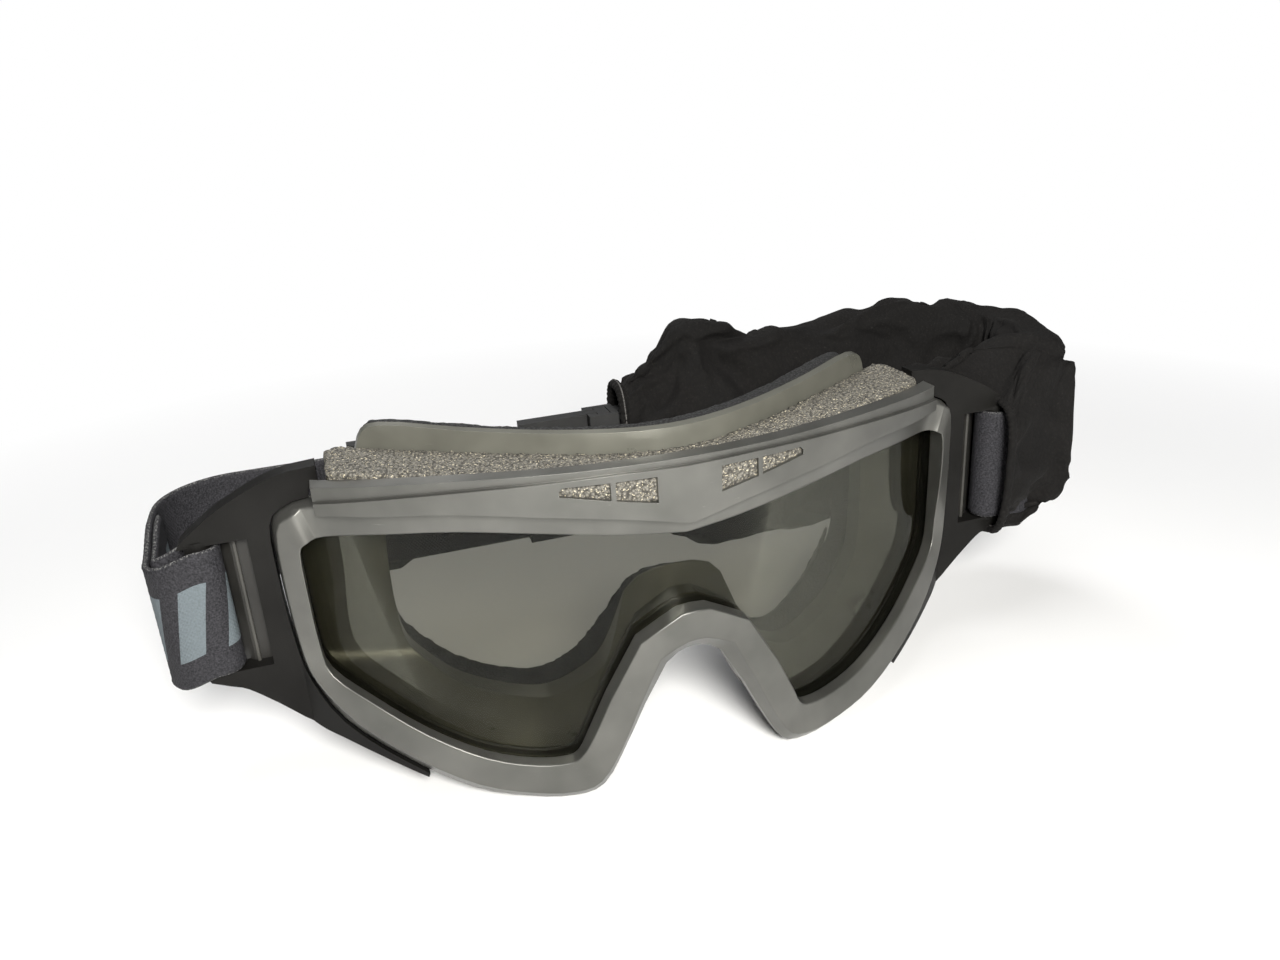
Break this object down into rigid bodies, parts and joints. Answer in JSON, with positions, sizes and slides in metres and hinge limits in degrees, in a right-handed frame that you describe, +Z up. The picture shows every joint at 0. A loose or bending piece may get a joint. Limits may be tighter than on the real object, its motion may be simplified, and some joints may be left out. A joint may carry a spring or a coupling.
{
  "type": "goggles",
  "caption": "Wide single-lens protective goggles with a wrapped frame, vented brow, foam face pad, side outriggers, an elastic head strap and a bunched fabric cover sleeve.",
  "frame": {"origin": "centre of the face opening on the plane of symmetry, at eye height", "axes": "+X towards the wearer's left, +Y towards the wearer's face, +Z up"},
  "size_m": [0.2493, 0.0925, 0.0866],
  "materials": {
    "frame_grey": "satin, slight metallic sheen",
    "frame_olive": "satin",
    "lens_clear": "clear, faint grey-green tint",
    "vent_foam": "open-cell foam with light flecks",
    "face_foam": "closed-cell foam",
    "fleece": "brushed fleece",
    "outrigger_black": "satin",
    "webbing": "woven elastic",
    "hardware_black": "fine texture",
    "sleeve_knit": "matte knit"
  },
  "bodies": {
    "goggle_frame": {"front_frame": "frame_grey", "brow_bar": "frame_grey", "face_frame": "frame_olive", "lens": "lens_clear", "top_vent_foam": "vent_foam", "lower_vent_foam_left": "vent_foam", "lower_vent_foam_right": "vent_foam", "face_foam": "face_foam", "face_lining": "fleece", "outrigger_left": "outrigger_black", "outrigger_right": "outrigger_black"},
    "strap_band": {"strap_end_left": "webbing", "strap_end_right": "webbing", "strap_left": "webbing", "strap_tail_left": "webbing", "clip_socket": "hardware_black", "cover_sleeve": "sleeve_knit"},
    "clip_half": {"clip_tongue": "hardware_black", "strap_right": "webbing", "strap_tail_right": "webbing"},
    "left_slider": {"slider_left": "hardware_black"},
    "right_slider": {"slider_right": "hardware_black"},
    "front_hem": {"sleeve_front_hem": "sleeve_knit"},
    "rear_hem": {"sleeve_rear_hem": "sleeve_knit"}
  },
  "joints": [
    {"name": "strap_lift", "type": "hinge", "parent": "goggle_frame", "child": "strap_band", "pos_m": [0, 0.011, 0.00575], "axis": [1, 0, 0], "range_deg": [-20, 35], "deforming": ["strap_end_left", "strap_end_right", "cover_sleeve", "sleeve_front_hem"]},
    {"name": "clip_lift", "type": "slide", "parent": "strap_band", "child": "clip_half", "axis": [0, 0, 1], "range_m": [0, 0.036], "deforming": ["strap_right"]},
    {"name": "slider_left_slide", "type": "slide", "parent": "strap_band", "child": "left_slider", "axis": [1, 0, 0], "range_m": [-0.025, 0.012], "deforming": ["strap_tail_left"]},
    {"name": "slider_right_slide", "type": "slide", "parent": "clip_half", "child": "right_slider", "axis": [-1, 0, 0], "range_m": [-0.025, 0.012], "deforming": ["strap_tail_right"]},
    {"name": "front_hem_slide", "type": "slide", "parent": "strap_band", "child": "front_hem", "axis": [1, 0, 0], "range_m": [0, 0.015], "deforming": ["cover_sleeve"]},
    {"name": "rear_hem_slide", "type": "slide", "parent": "strap_band", "child": "rear_hem", "axis": [1, 0, 0], "range_m": [0, 0.03], "deforming": ["cover_sleeve"]}
  ]
}
